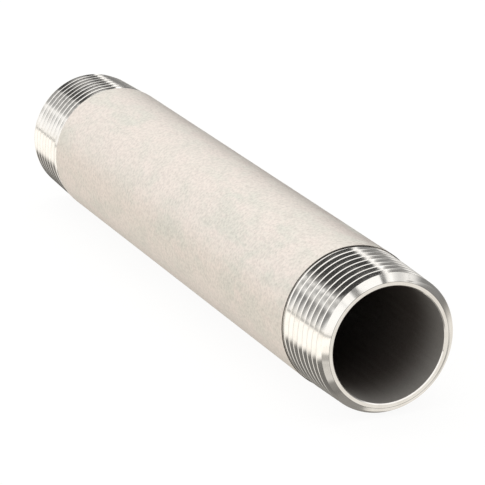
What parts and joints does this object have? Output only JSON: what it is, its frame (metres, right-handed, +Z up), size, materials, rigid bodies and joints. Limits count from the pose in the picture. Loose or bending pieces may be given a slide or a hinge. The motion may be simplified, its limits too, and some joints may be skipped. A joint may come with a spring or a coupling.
{
  "type": "threaded pipe nipple",
  "caption": "Long straight steel pipe nipple with male taper pipe threads, chamfered noses and a plain through bore, to join two female threaded fittings.",
  "frame": {"origin": "on the pipe's axis, at mid-length", "axes": "+X along the pipe's axis towards the near threaded end, +Z up, +Y completing a right-handed frame"},
  "size_m": [0.1778, 0.0334, 0.0334],
  "materials": {
    "stainless_pipe": "pickled matt barrel, bright machined threads"
  },
  "bodies": {
    "root": {"pipe_nipple": "stainless_pipe"}
  },
  "joints": []
}
